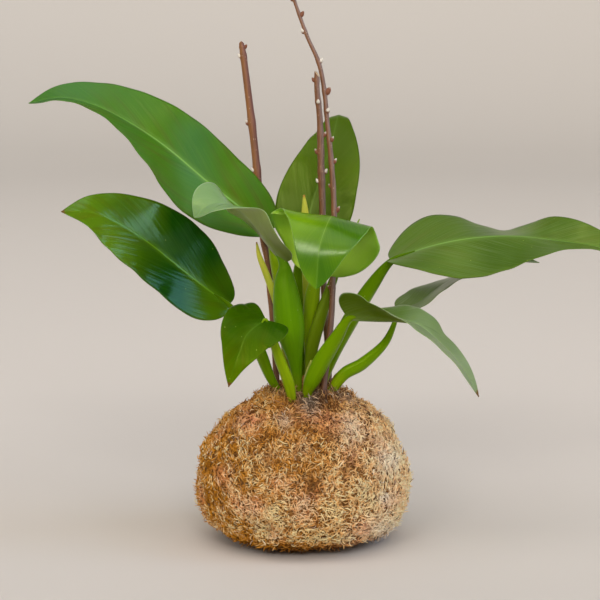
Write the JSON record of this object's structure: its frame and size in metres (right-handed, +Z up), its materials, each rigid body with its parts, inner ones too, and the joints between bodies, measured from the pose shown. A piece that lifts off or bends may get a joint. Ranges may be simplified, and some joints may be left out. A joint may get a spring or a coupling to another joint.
{
  "type": "kokedama moss ball plant",
  "caption": "Leafy plant with swollen green stalks and slim budded twigs growing out of a round ball of soil wrapped in dry golden-brown moss.",
  "frame": {"origin": "middle of the flat spot that the moss ball rests on", "axes": "+Z up along the ball's axis and the upright twigs; -Y towards the front, the side seen in the picture; +X towards the large right-hand leaf"},
  "size_m": [0.4244, 0.1656, 0.3953],
  "materials": {
    "dry_moss": "matte",
    "soil": "matte",
    "crown_tissue": "matte",
    "leaf": "satin",
    "young_leaf": "satin",
    "twig_bark": "satin"
  },
  "bodies": {
    "root": {"moss_wrap": "dry_moss", "soil_ball": "soil", "plant_crown": "crown_tissue", "leaf_upper_left": "leaf", "leaf_mid_left": "leaf", "leaf_front_left": "leaf", "leaf_front_centre": "leaf", "leaf_small_left": "leaf", "leaf_back": "leaf", "leaf_upper_right": "leaf", "leaf_mid_right": "leaf", "leaf_lower_right": "leaf", "young_leaf_left": "young_leaf", "young_leaf_centre": "young_leaf", "young_leaf_right": "young_leaf", "twig_left": "twig_bark", "twig_long": "twig_bark", "twig_middle": "twig_bark"}
  },
  "joints": []
}
